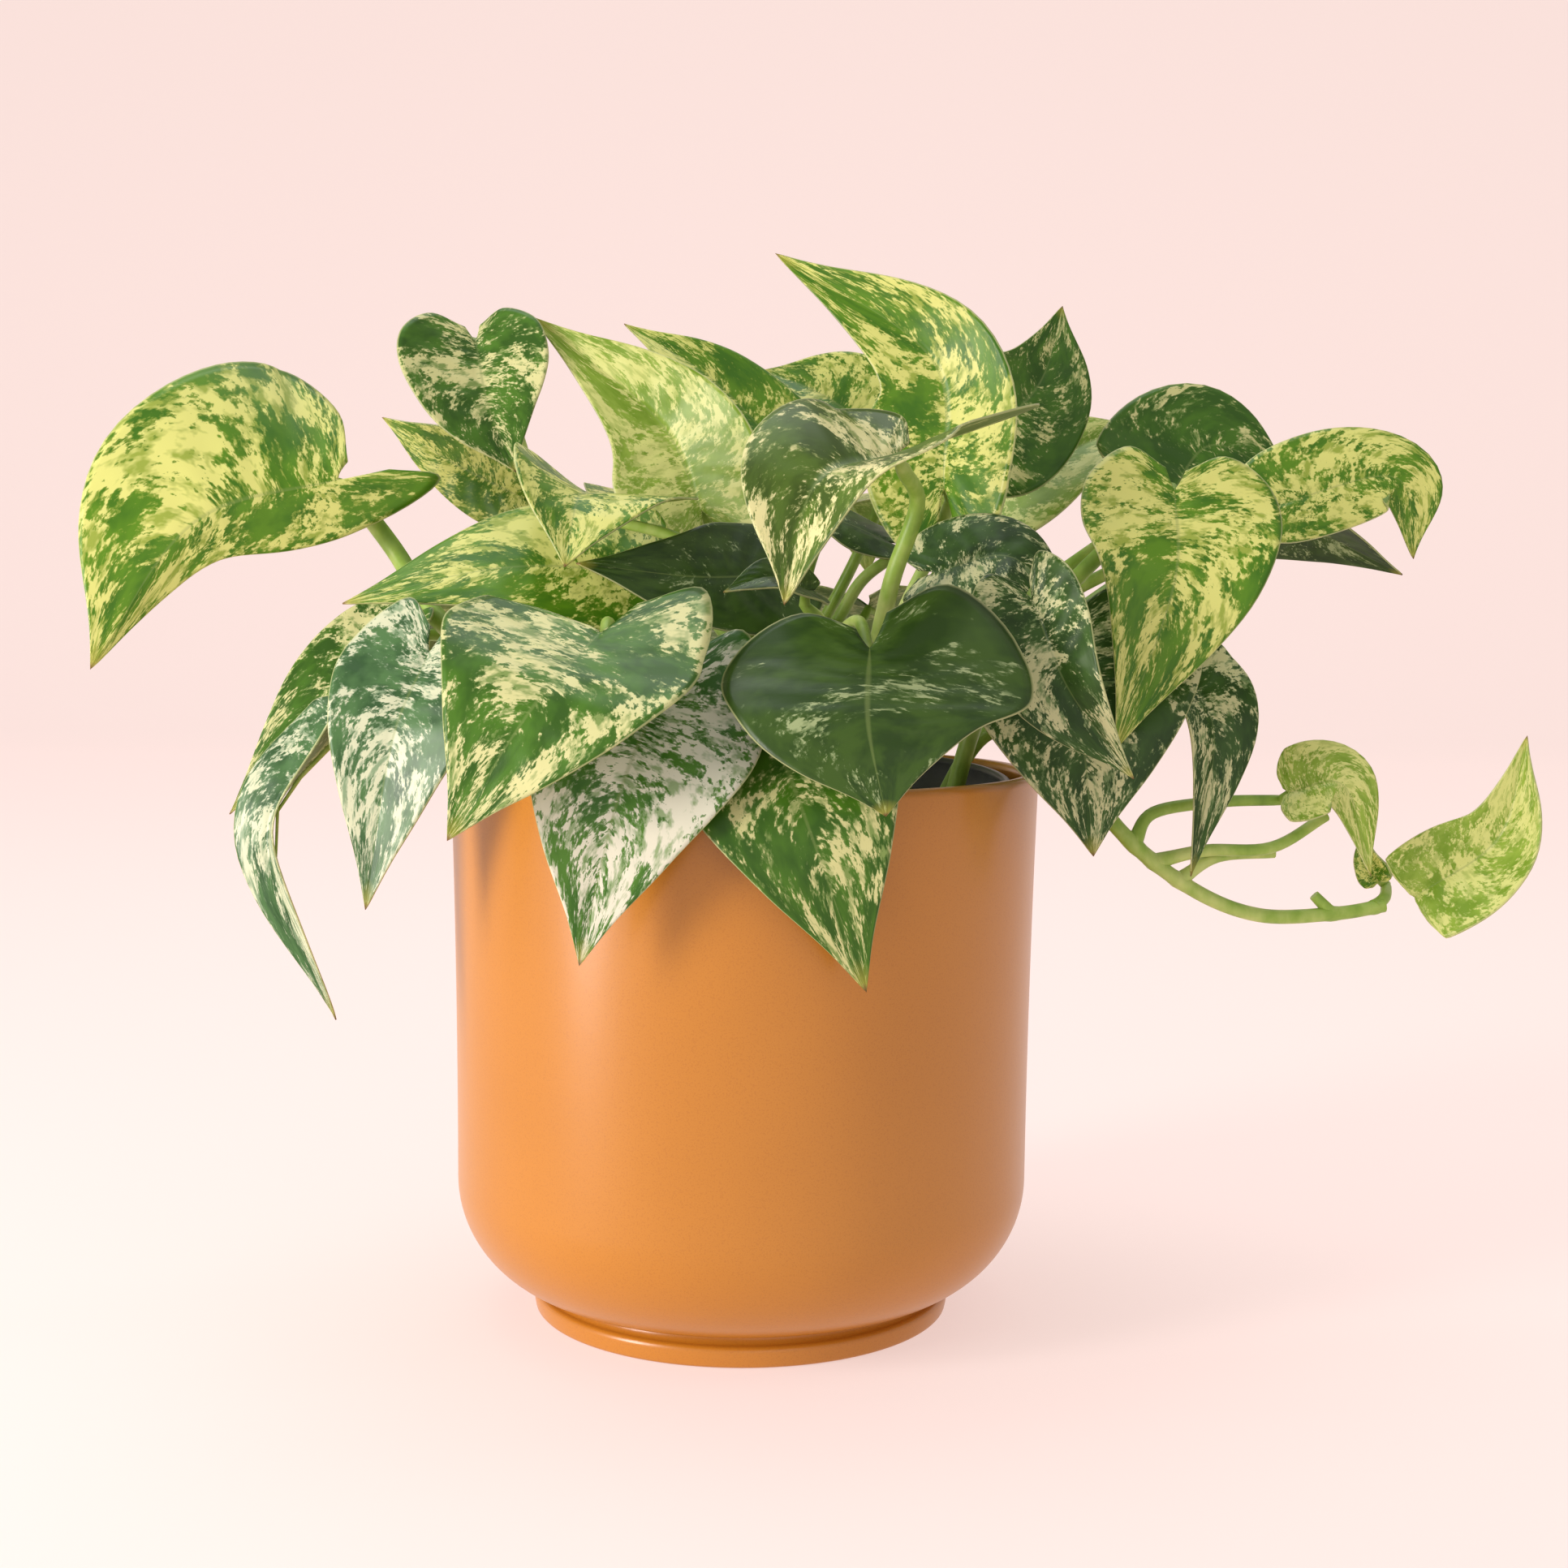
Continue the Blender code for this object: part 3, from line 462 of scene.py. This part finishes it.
# %% Leaf table
# Left is seen from above with the tip away, so on a leaf that hangs facing the front it is +X.
LEAVES = {
    "leaf_01": Leaf([(-112, -12, 233), (-148, -26, 220), (-173, -37, 181)],
                    [(-0.1, -0.85, 0.5), (0.25, -0.9, 0.1)], (16, 45), (-24, 4), (-10, -14),
                    lobe=(1.6, 0.5)),
    "leaf_02": Leaf([(-78, 16, 274), (-73, 6, 254), (-65, 2, 236)],
                    (0.15, -0.9, 0.45), (20, 24), (18, 12), (0, 10)),
    "leaf_03": Leaf([(-66, 34, 230), (-88, 38, 241), (-109, 42, 254)],
                    (-0.3, -0.8, -0.3), (13, 16), (10, 10)),
    "leaf_04": Leaf([(-13, 6, 226), (-26, 12, 252), (-62, 18, 281)],
                    (-0.2, -0.85, 0.3), (22, 24), (22, 22)),
    "leaf_05": Leaf([(14, 34, 240), (-10, 46, 266), (-38, 56, 284)],
                    (0.0, -0.85, 0.5), (15, 15), (14, 14)),
    "leaf_06": Leaf([(42, 50, 250), (22, 60, 264), (4, 70, 272)],
                    (0.0, -0.8, 0.5), (20, 22), (10, 10)),
    "leaf_07": Leaf([(-24, -24, 208), (-64, -30, 209), (-106, -40, 199)],
                    (-0.1, -0.65, 0.75), (20, 26), (-8, 6), (-10, 0), lobe=(0.3, 0.3)),
    "leaf_08": Leaf([(-41, -24, 228), (-44, -44, 227), (-46, -62, 209)],
                    [(0.0, -0.35, 0.95), (0.0, -0.8, 0.5)], (29, 24), (2, 16), (0, 30)),
    "leaf_09": Leaf([(8, -30, 208), (-14, -42, 207), (-44, -50, 210)],
                    (0.0, -0.8, 0.55), (19, 18), (-4, 4)),
    "leaf_10": Leaf([(-36, -76, 193), (-50, -96, 176), (-70, -104, 144)],
                    [(0.1, -0.55, 0.8), (0.0, -1.0, 0.2)], (31, 36), (10, -6), lobe=(1.9, 0.1)),
    "leaf_11": Leaf([(-21, -70, 179), (-31, -89, 152), (-40, -90, 112)],
                    [(0.1, -0.9, 0.4), (0.0, -1.0, 0.0)], (29, 29), (8, 8), lobe=(1.6, 0.2)),
    "leaf_12": Leaf([(-82, -50, 187), (-90, -60, 164), (-97, -60, 121)],
                    [(-0.3, -0.8, 0.5), (-0.2, -1.0, 0.1)], (26, 22), (10, 10)),
    "leaf_13": Leaf([(-98, -14, 191), (-117, -22, 172), (-139, -28, 142)],
                    [(-0.3, -0.7, 0.6), (-0.3, -0.9, 0.2)], (14, 14), (16, 16)),
    "leaf_14": Leaf([(-106, -40, 168), (-124, -48, 138), (-107, -48, 90)],
                    [(-0.9, -0.5, 0.3), (-0.5, -1.0, 0.0)], (13, 13), (30, 30), lobe=(0.3, 0.3)),
    "leaf_15": Leaf([(30, -84, 190), (29, -100, 172), (33, -108, 151)],
                    [(0.0, -0.7, 0.6), (0.0, -1.0, 0.3)], (40, 36), (2, -4), (-10, -14),
                    lobe=(2.4, 1.3)),
    "leaf_16": Leaf([(0, -58, 184), (14, -87, 150), (30, -90, 106)],
                    [(-0.1, -0.9, 0.35), (0.0, -1.0, 0.0)], (33, 30), (0, 6), lobe=(-0.4, 0.4)),
    "leaf_17": Leaf([(38, -60, 238), (17, -74, 230), (9, -86, 200)],
                    [(-0.1, -0.7, 0.7), (0.1, -1.0, 0.2)], (30, 27), (46, 6), (0, -20),
                    lobe=(3.2, 1)),
    "leaf_18": Leaf([(54, -12, 232), (50, -8, 268), (7, 0, 297)],
                    [(-0.4, -0.8, 0.2), (-0.2, -0.9, -0.1)], (22, 24), (20, 20)),
    "leaf_19": Leaf([(66, 18, 246), (84, 22, 264), (91, 26, 287)],
                    (0.2, -0.9, 0.2), (20, 22), (14, 14)),
    "leaf_20": Leaf([(68, 28, 226), (96, 34, 246), (118, 40, 254)],
                    (0.0, -0.7, 0.7), (18, 18), (10, 10)),
    "leaf_21": Leaf([(50, -30, 209), (70, -36, 213), (86, -39, 197)],
                    (0.1, -0.8, 0.6), (16, 18), (0, 10)),
    "leaf_22": Leaf([(111, -46, 231), (109, -58, 206), (94, -64, 164)],
                    [(0.0, -0.85, 0.5), (0.05, -1.0, 0.1)], (27, 25), (8, 8), (-10, -10), lobe=(0.7, 0.8)),
    "leaf_23": Leaf([(118, 0, 230), (132, 6, 246), (158, 10, 234)],
                    (0.1, -0.85, 0.4), (26, 16), (0, 0), lobe=(0.3, 0.3)),
    "leaf_24": Leaf([(146, -16, 229), (177, -18, 236), (182, -20, 214)],
                    (0.1, -0.75, 0.6), (18, 13), (10, -10)),
    "leaf_25": Leaf([(144, 4, 226), (164, 6, 221), (187, 6, 210)],
                    (0.0, -0.5, -0.8), (14, 14), (10, 10)),
    "leaf_26": Leaf([(84, -42, 194), (87, -54, 168), (90, -58, 136)],
                    [(0.1, -0.8, 0.55), (0.1, -1.0, 0.1)], (34, 33), (8, 8), lobe=(1, 0.3)),
    "leaf_27": Leaf([(72, -64, 202), (80, -76, 180), (96, -80, 158)],
                    [(-0.2, -0.8, 0.4), (-0.4, -0.9, 0.0)], (14, 18), (30, 10)),
    "leaf_28": Leaf([(117, -36, 184), (123, -46, 166), (117, -50, 130)],
                    [(0.3, -0.8, 0.4), (0.3, -1.0, 0.0)], (14, 12), (20, 20)),
    "leaf_29": Leaf([(146, -34, 151), (160, -38, 153), (168, -38, 129)],
                    (-0.1, -0.9, 0.5), (12, 10), (10, 10), lobe=(0.3, 0.3)),
    "leaf_30": Leaf([(183, -28, 122), (204, -32, 139), (209, -37, 167)],
                    (-0.4, -0.85, 0.3), (14, 18), (24, 24), lobe=(0.1, 0.1)),
    "leaf_31": Leaf([(176, -18, 125), (173, -17, 131), (171, -16, 139)],
                    (-0.6, -0.7, 0.3), (5, 6), (30, 30), lobe=(0.3, 0.3)),
    "leaf_32": Leaf([(16, -46, 204), (6, -54, 207), (-6, -60, 203)],
                    (0.1, -0.6, 0.7), (8, 8), (10, 10)),
    "leaf_33": Leaf([(40, 2, 218), (22, 0, 224), (12, -2, 216)],
                    (0.0, -0.5, 0.8), (9, 11), (-10, -10)),
    "leaf_34": Leaf([(-68, 34, 202), (-92, 52, 196), (-106, 68, 166)],
                    [(-0.4, 0.4, 0.8), (-0.6, 0.8, 0.3)], (24, 24), (8, 8)),
    "leaf_35": Leaf([(-34, 66, 202), (-46, 96, 190), (-50, 110, 150)],
                    [(-0.1, 0.3, 0.9), (-0.2, 1.0, 0.2)], (27, 27), (8, 8)),
    "leaf_36": Leaf([(6, 74, 190), (8, 106, 176), (6, 116, 134)],
                    [(0.0, 0.3, 0.9), (0.0, 1.0, 0.2)], (28, 28), (6, 6)),
    "leaf_37": Leaf([(38, 68, 200), (50, 98, 190), (56, 112, 152)],
                    [(0.1, 0.3, 0.9), (0.2, 1.0, 0.2)], (26, 26), (8, 8)),
    "leaf_38": Leaf([(74, 48, 196), (98, 64, 186), (110, 76, 152)],
                    [(0.4, 0.4, 0.8), (0.6, 0.8, 0.3)], (24, 24), (10, 10)),
    "leaf_39": Leaf([(-22, 52, 226), (-34, 78, 232), (-42, 104, 214)],
                    [(0.0, -0.2, 1.0), (0.0, 0.5, 0.8)], (24, 24), (10, 10)),
    "leaf_40": Leaf([(24, 58, 230), (34, 84, 232), (40, 108, 210)],
                    [(0.0, -0.2, 1.0), (0.1, 0.5, 0.8)], (24, 24), (10, 10)),
    "leaf_41": Leaf([(-78, 8, 190), (-102, 20, 187), (-116, 32, 160)],
                    [(-0.3, 0.2, 0.9), (-0.7, 0.5, 0.5)], (18, 20), (10, 10)),
    "leaf_42": Leaf([(94, 20, 194), (122, 32, 190), (140, 42, 162)],
                    [(0.3, 0.2, 0.9), (0.7, 0.5, 0.5)], (23, 23), (10, 10)),
}
print(len(LEAVES), "leaves, the longest", round(max(leaf.size for leaf in LEAVES.values())), "mm")

# %% Blade mesh
ROWS, SIDE_COLUMNS = 44, 13
EDGE_CROWDING = 0.9


def blade(name, leaf, seed):
    """The leaf recipe laid on a fine grid, with its places kept as the veins UV map."""
    form = bmesh.new()
    bmesh.ops.create_grid(form, x_segments=ROWS, y_segments=2 * SIDE_COLUMNS, size=1.0)
    veins = form.loops.layers.uv.new("veins")
    for face in form.faces:
        for loop in face.loops:
            s = (loop.vert.co.x + 1.0) / 2.0
            loop[veins].uv = (seed + min(s, 0.999), -loop.vert.co.y)
    for corner in form.verts:
        s = (corner.co.x + 1.0) / 2.0
        t = -corner.co.y
        t = math.copysign(abs(t) ** EDGE_CROWDING, t)
        corner.co = leaf.point(s, t, seed) * MM
    bmesh.ops.remove_doubles(form, verts=form.verts, dist=0.00002)
    piece = finished(name, form, 180.0)
    shell = piece.modifiers.new("Blade", "SOLIDIFY")
    shell.thickness = BLADE * MM
    shell.offset = 0.0
    shell.material_offset = 1
    return piece


# %% [markdown]
# ## Leaf finish
# A marbled leaf has patches without chlorophyll. They start at the midrib and are drawn out along
# the side veins, in a few sizes at once: whole sectors, streaks, and flecks. So three noises are
# stretched along the veins map, leant towards the tip, added, and cut into green and cream at one
# level, with a grey-green haze just below it. The midrib, the thin pale margin and the dry tip
# come from the same map. The surface is waxy, a satin shine over a soft quilting between the
# veins, and the thin blade lets light through. Painting each leaf would match one view only.

# %% Leaf finish recipe
VEIN_LEAN = 0.17
SIDE_VEINS = 11.0
LIGHT_THROUGH = 0.28


def stretched(tree, u, v, across, outward, detail, shift):
    """Noise drawn out along the side veins: many bands along the midrib, few outward."""
    spot = put(tree, "ShaderNodeCombineXYZ", values={"Z": shift},
               links={"X": calc(tree, "MULTIPLY", u, across), "Y": calc(tree, "MULTIPLY", v, outward)})
    return put(tree, "ShaderNodeTexNoise", values={"Scale": 1.0, "Detail": detail, "Roughness": 0.6},
               links={"Vector": spot.outputs["Vector"]}).outputs["Fac"]


def leaf_finish(name, dark, green, veil, cream, share, under=False, gloss=0.36):
    """Waxy marbled leaf skin. share is how much of the blade is pale, from 0 to 1."""
    finish, tree, shader = new_finish(name)
    place = put(tree, "ShaderNodeUVMap", {"uv_map": "veins"}).outputs["UV"]
    split = put(tree, "ShaderNodeSeparateXYZ", links={"Vector": place})
    u, v = split.outputs["X"], split.outputs["Y"]
    out = calc(tree, "ABSOLUTE", v)
    along_rib = calc(tree, "FRACT", u)
    u = calc(tree, "MULTIPLY_ADD", out, -VEIN_LEAN, u)
    sector = stretched(tree, u, v, 3.6, 1.1, 1.0, 0.0)
    streak = stretched(tree, u, v, 20.0, 3.2, 5.0, 4.0)
    fleck = stretched(tree, u, v, 70.0, 13.0, 3.0, 9.0)
    mix = calc(tree, "MULTIPLY_ADD", sector, 1.5, calc(tree, "MULTIPLY", streak, 1.7))
    mix = calc(tree, "MULTIPLY_ADD", fleck, 1.2, mix)
    level = calc(tree, "ADD", mix, (share - 0.5) * 0.9 - 1.70)
    soft = 0.10 if under else 0.0
    body = stretched(tree, u, v, 7.0, 2.0, 3.0, 14.0)
    base = ramp(tree, body, [(0.40, dark), (0.60, green)])
    pale = ramp(tree, stretched(tree, u, v, 22.0, 4.0, 3.0, 21.0), [(0.38, veil), (0.50, cream)])
    haze = put(tree, "ShaderNodeMapRange", {"interpolation_type": "SMOOTHSTEP"},
               {"From Min": 0.36, "From Max": 0.46, "To Max": 0.5}, {"Value": level})
    hazed = put(tree, "ShaderNodeMix", {"data_type": "RGBA"}, {7: srgb(veil)},
                {0: haze.outputs["Result"], 6: base}).outputs[2]
    cut = put(tree, "ShaderNodeMapRange", {"interpolation_type": "SMOOTHSTEP"},
              {"From Min": 0.48 - soft, "From Max": 0.56 + soft}, {"Value": level})
    colour = put(tree, "ShaderNodeMix", {"data_type": "RGBA"},
                 links={0: cut.outputs["Result"], 6: hazed, 7: pale}).outputs[2]
    for value, low, high, most, code in (
        (out, 0.020, 0.006, 0.35, "8FA35C"), (out, 0.982, 0.996, 0.7, "D6DB9C"),
        (along_rib, 0.93, 0.98, 0.5, "C4BC4C"), (along_rib, 0.980, 0.996, 0.85, "80583A"),
    ):
        where = put(tree, "ShaderNodeMapRange", values={"From Min": low, "From Max": high, "To Max": most},
                    links={"Value": value}).outputs["Result"]
        colour = put(tree, "ShaderNodeMix", {"data_type": "RGBA"}, {7: srgb(code)},
                     {0: where, 6: colour}).outputs[2]
    if under:
        colour = put(tree, "ShaderNodeMix", {"data_type": "RGBA"}, {0: 0.4, 7: srgb("A6BC72")},
                     {6: colour}).outputs[2]
    tree.links.new(colour, shader.inputs["Base Color"])
    vein = calc(tree, "SINE", calc(tree, "MULTIPLY", u, 2.0 * math.pi * SIDE_VEINS))
    height = calc(tree, "MULTIPLY_ADD", vein, 0.2, calc(tree, "MULTIPLY", streak, 0.8))
    bump = put(tree, "ShaderNodeBump", values={"Strength": 0.35, "Distance": 0.0003},
               links={"Height": height})
    tree.links.new(bump.outputs["Normal"], shader.inputs["Normal"])
    shader.inputs["Roughness"].default_value = 0.6 if under else gloss
    shader.inputs["IOR"].default_value = 1.45
    glow = put(tree, "ShaderNodeBsdfTranslucent", links={"Color": colour})
    body_mix = put(tree, "ShaderNodeMixShader", values={"Fac": LIGHT_THROUGH})
    tree.links.new(shader.outputs["BSDF"], body_mix.inputs[1])
    tree.links.new(glow.outputs["BSDF"], body_mix.inputs[2])
    tree.links.new(body_mix.outputs["Shader"], tree.nodes["Material Output"].inputs["Surface"])
    return finish


# %% Leaf finishes
SKINS = {
    "lime": ("lime marbled leaf", "43780F", "62941A", "A3B64A", "E6E88A", 0.48),
    "cream": ("cream marbled leaf", "35600F", "4E7F1E", "88A258", "E2E1A2", 0.43),
    "white": ("white marbled leaf", "3C7020", "55892F", "A0B887", "F0F0DC", 0.55),
    "teal": ("blue-green marbled leaf", "375E33", "55804A", "92AC86", "DEE3C2", 0.46),
    "deep": ("deep green leaf", "2B4812", "41601D", "6E8650", "A9B884", 0.12),
    "olive": ("olive and cream leaf", "455F18", "5C7B28", "9AAA60", "EFE9AC", 0.42),
    "pale": ("pale lime leaf", "7EA22A", "9BBA45", "BECC70", "DFE490", 0.50),
    "sparse": ("green leaf with few marks", "35610E", "4D7D1B", "86A055", "DEDD9C", 0.30),
    "forest": ("forest and cream leaf", "27480F", "3C611E", "7A945A", "DADAA6", 0.40),
}
FINISHES = {}
for key, values in SKINS.items():
    name, *rest = values
    FINISHES[key] = (leaf_finish(name, *rest), leaf_finish(name + " underside", *rest, under=True))
print(len(FINISHES), "leaf finishes")

# %% Which leaf wears which skin
WEAR = {
    "lime": (1, 3, 5, 6, 7, 8, 18, 22, 24, 31, 39),
    "cream": (2, 10, 13, 35, 37),
    "sparse": (16, 19, 23, 42),
    "white": (11, 36),
    "teal": (12, 14, 38),
    "deep": (9, 15, 25, 32, 33, 41),
    "olive": (17, 34),
    "pale": (4, 20, 29, 30, 40),
    "forest": (21, 26, 27, 28),
}
for key, numbers in WEAR.items():
    for number in numbers:
        name = f"leaf_{number:02d}"
        piece = blade("Blade_" + name[5:], LEAVES[name], number)
        for skin in FINISHES[key]:
            piece.data.materials.append(skin)
        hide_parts(name)
print("blades made")

# %% [markdown]
# ## Vines and petioles
# Each vine is a short trunk with swollen joints, and each leaf hangs from its own petiole, which
# bends up under the heart of the blade and runs on as the raised midrib of the underside. A ring
# is swept along each path with a radius for every step, which gives the taper, the joints and the
# flared stalk ends. A curve with a bevel would be quicker, but its pieces would have to be made
# meshes and joined afterwards.

# %% Vine table
# Trunk points, trunk radius, then each petiole as (leaf, share of the trunk, bends), in mm.
VINES = {
    "vine_01": ([(-34, 0, 0), (-42, -2, 162), (-52, -4, 184)], 2.6, [
        ("leaf_01", 0.7, [(-64, -16, 180), (-84, -12, 194), (-99, 1, 214)]),
        ("leaf_02", 0.9, [(-58, 8, 220), (-68, 20, 252), (-76, 26, 268)]),
        ("leaf_03", 0.95, [(-52, 24, 206), (-58, 44, 222)]),
        ("leaf_13", 0.6, [(-62, -8, 182), (-84, -6, 190)]),
        ("leaf_41", 0.8, [(-64, 4, 186)]),
    ]),
    "vine_02": ([(-30, -24, 0), (-40, -30, 165), (-48, -34, 180)], 2.4, [
        ("leaf_07", 0.8, [(-40, -22, 190), (-30, -18, 202)]),
        ("leaf_12", 0.9, [(-58, -38, 182), (-72, -42, 185)]),
        ("leaf_14", 0.7, [(-66, -32, 174), (-88, -30, 172)]),
    ]),
    "vine_03": ([(-14, -36, 0), (-26, -42, 162), (-32, -46, 174)], 2.4, [
        ("leaf_08", 0.8, [(-16, -36, 190), (-14, -26, 214)]),
        ("leaf_10", 0.95, [(-34, -52, 190), (-35, -64, 195)]),
        ("leaf_11", 0.7, [(-35, -60, 177)]),
    ]),
    "vine_04": ([(18, -30, 0), (14, -38, 160), (10, -42, 172)], 2.4, [
        ("leaf_15", 0.6, [(22, -48, 188), (28, -62, 196)]),
        ("leaf_16", 0.9, [(4, -48, 177)]),
        ("leaf_32", 0.7, [(20, -40, 192)]),
        ("leaf_09", 0.5, [(17, -28, 186), (14, -22, 198)]),
    ]),
    "vine_05": ([(30, -16, 0), (32, -24, 165), (34, -32, 184)], 2.6, [
        ("leaf_17", 0.9, [(38, -40, 206), (44, -46, 226)]),
        ("leaf_18", 0.6, [(42, -16, 196), (52, -4, 216)]),
        ("leaf_21", 0.7, [(44, -30, 196)]),
    ]),
    "vine_06": ([(8, 18, 0), (4, 14, 170), (2, 12, 190)], 2.6, [
        ("leaf_04", 0.95, [(-4, 10, 208)]),
        ("leaf_05", 0.8, [(12, 24, 205), (16, 34, 226)]),
        ("leaf_33", 0.6, [(22, 8, 190), (32, 6, 206)]),
        ("leaf_39", 0.7, [(-10, 30, 196), (-18, 44, 216)]),
        ("leaf_35", 0.5, [(-14, 36, 184), (-28, 56, 196)]),
    ]),
    "vine_07": ([(54, -18, 0), (62, -26, 168), (72, -30, 188)], 2.6, [
        ("leaf_22", 0.95, [(88, -34, 208), (104, -38, 224)]),
        ("leaf_26", 0.7, [(72, -32, 186)]),
        ("leaf_27", 0.95, [(75, -48, 203)]),
        ("leaf_28", 0.9, [(88, -26, 192), (106, -26, 190)]),
        ("leaf_24", 0.85, [(98, -18, 204), (126, -12, 220)]),
    ]),
    "vine_08": ([(44, 22, 0), (52, 20, 170), (60, 18, 190)], 2.6, [
        ("leaf_19", 0.9, [(60, 22, 218), (64, 26, 236)]),
        ("leaf_20", 0.8, [(60, 26, 208)]),
        ("leaf_23", 0.95, [(84, 8, 206), (106, 2, 222)]),
        ("leaf_25", 0.7, [(92, 6, 204), (124, 4, 220)]),
        ("leaf_42", 0.6, [(72, 20, 182)]),
    ]),
    "vine_09": ([(20, 44, 0), (18, 52, 168), (16, 56, 184)], 2.4, [
        ("leaf_06", 0.9, [(32, 46, 212), (42, 42, 236)]),
        ("leaf_40", 0.8, [(18, 50, 206), (22, 52, 220)]),
        ("leaf_36", 0.5, [(10, 64, 180)]),
        ("leaf_37", 0.6, [(30, 58, 188)]),
        ("leaf_38", 0.7, [(42, 48, 184), (56, 46, 190)]),
        ("leaf_34", 0.4, [(-16, 40, 176), (-46, 30, 190)]),
    ]),
    "vine_10": ([(50, -6, 0), (66, -12, 164), (84, -24, 164), (100, -36, 141), (120, -34, 125),
                 (140, -30, 117), (162, -26, 117), (176, -24, 119)], 2.3, [
        ("leaf_29", 0.46, [(110, -33, 145), (128, -32, 148)]),
        ("leaf_31", 0.97, [(177, -21, 121)]),
        (None, 0.5, [(124, -34, 135), (142, -34, 136), (158, -28, 144)]),
        (None, 0.55, [(128, -31, 133), (144, -29, 134)]),
        (None, 0.85, [(156, -26, 122)]),
    ]),
}


# %% Stem sweep
RING_SIDES = 12
PETIOLE_DROP = 1.6
GIRTH = {"leaf_01": 1.5, "leaf_17": 1.2, "leaf_22": 1.15}
# Share of the leaf, depth below its middle and radius of the midrib, in mm.
MIDRIB = ((0.0, 1.6, 1.25), (0.05, 1.35, 1.0), (0.12, 1.1, 0.78),
          (0.25, 0.95, 0.6), (0.4, 0.8, 0.46), (0.6, 0.6, 0.34))


def sweep(form, points, radii):
    """Sweeps a ring along points in mm and closes both ends with a flat cap."""
    ahead = [(points[min(i + 1, len(points) - 1)] - points[max(i - 1, 0)]).normalized()
             for i in range(len(points))]
    up = ahead[0].orthogonal().normalized()
    previous = None
    for index, (spot, radius) in enumerate(zip(points, radii)):
        up = (up - ahead[index] * up.dot(ahead[index])).normalized()
        side = ahead[index].cross(up)
        frame_at = Matrix((side, up, ahead[index])).transposed().to_4x4()
        ring = bmesh.ops.create_circle(form, segments=RING_SIDES, radius=radius * MM,
                                       matrix=Matrix.Translation(spot * MM) @ frame_at)["verts"]
        edges = list({edge for corner in ring for edge in corner.link_edges if edge.is_wire})
        if previous:
            bmesh.ops.bridge_loops(form, edges=previous + edges)
        else:
            first = ring
        previous = edges
    for cap in (first, ring):
        bmesh.ops.contextual_create(form, geom=cap)


def vine(name, trunk, radius, petioles):
    """One vine: its trunk from under the soil, and a petiole with a midrib for each leaf."""
    path = [Vector(point) for point in trunk]
    path[0].z = soil_height(path[0].x, path[0].y) - 3.0
    count = 12 * (len(path) - 1)
    joints = [share for _, share, _ in petioles]
    spine, radii = [], []
    for step in range(count + 1):
        share = step / count
        swell = sum(math.exp(-((share - joint) * (len(path) - 1) / 0.07) ** 2) for joint in joints)
        spine.append(along(path, share))
        radii.append(radius * (1.0 - 0.2 * share) * (1.0 + 0.16 * min(swell, 1.0)))
    form = bmesh.new()
    sweep(form, spine + [spine[-1] + (spine[-1] - spine[-2]) * 0.3], radii + [radii[-1] * 0.5])
    for leaf_name, share, bends in petioles:
        line = [along(path, share)] + [Vector(bend) for bend in bends]
        tail, thin = [], []
        if leaf_name:
            leaf = LEAVES[leaf_name]
            drop = PETIOLE_DROP + 1.6 * math.tan(math.radians(max(0, -min(leaf.fold))))
            end = leaf.rib[0] - leaf.normal(0.0) * drop
            line += [end - (leaf.normal(0.0) * 0.8 + leaf.forward(0.0) * 0.6) * 4.0]
            for u, depth, size in MIDRIB:
                tail.append(along(leaf.rib, u) - leaf.normal(u) * depth)
                thin.append(size)
        steps = 8 * (len(line) - 1)
        route = [along(line, step / steps) for step in range(steps + 1)]
        sizes = []
        for step in range(steps + 1):
            reach = step / steps
            flare = 0.22 * math.exp(-((reach / 0.12) ** 2))
            sizes.append(radius * GIRTH.get(leaf_name, 1.0) * (0.80 - 0.16 * reach) * (1.0 + flare))
        sweep(form, route + tail, sizes + thin)
    bmesh.ops.recalc_face_normals(form, faces=form.faces)
    return finished(name, form, 50.0)


# %% Stem finish
def stem_skin(name, dark, mid, light):
    """Smooth green stem, paler along its length in places, with a soft waxy shine."""
    finish, tree, shader = new_finish(name)
    spot = put(tree, "ShaderNodeTexCoord").outputs["Object"]
    tall = put(tree, "ShaderNodeMapping", values={"Scale": (0.5, 0.5, 0.3)}, links={"Vector": spot})
    streak = put(tree, "ShaderNodeTexNoise", values={"Scale": 420.0, "Detail": 4.0},
                 links={"Vector": tall.outputs["Vector"]}).outputs["Fac"]
    slow = put(tree, "ShaderNodeTexNoise", values={"Scale": 28.0, "Detail": 2.0},
               links={"Vector": spot}).outputs["Fac"]
    tone = calc(tree, "MULTIPLY_ADD", streak, 0.45, calc(tree, "MULTIPLY", slow, 0.6))
    colour = ramp(tree, tone, [(0.38, dark), (0.53, mid), (0.70, light)])
    tree.links.new(colour, shader.inputs["Base Color"])
    bump = put(tree, "ShaderNodeBump", values={"Strength": 0.12, "Distance": 0.0003},
               links={"Height": streak})
    tree.links.new(bump.outputs["Normal"], shader.inputs["Normal"])
    shader.inputs["Roughness"].default_value = 0.42
    shader.inputs["IOR"].default_value = 1.42
    shader.inputs["Subsurface Weight"].default_value = 0.15
    shader.inputs["Subsurface Radius"].default_value = (0.002, 0.003, 0.001)
    return finish


STEMS = stem_skin("waxy green stem", "6E9130", "8FAE48", "B9C874")
for name, (trunk, radius, petioles) in VINES.items():
    piece = vine("Vine" + name[4:], trunk, radius, petioles)
    piece.data.materials.append(STEMS)
    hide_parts(name)
    print(name, len(piece.data.polygons), "faces")
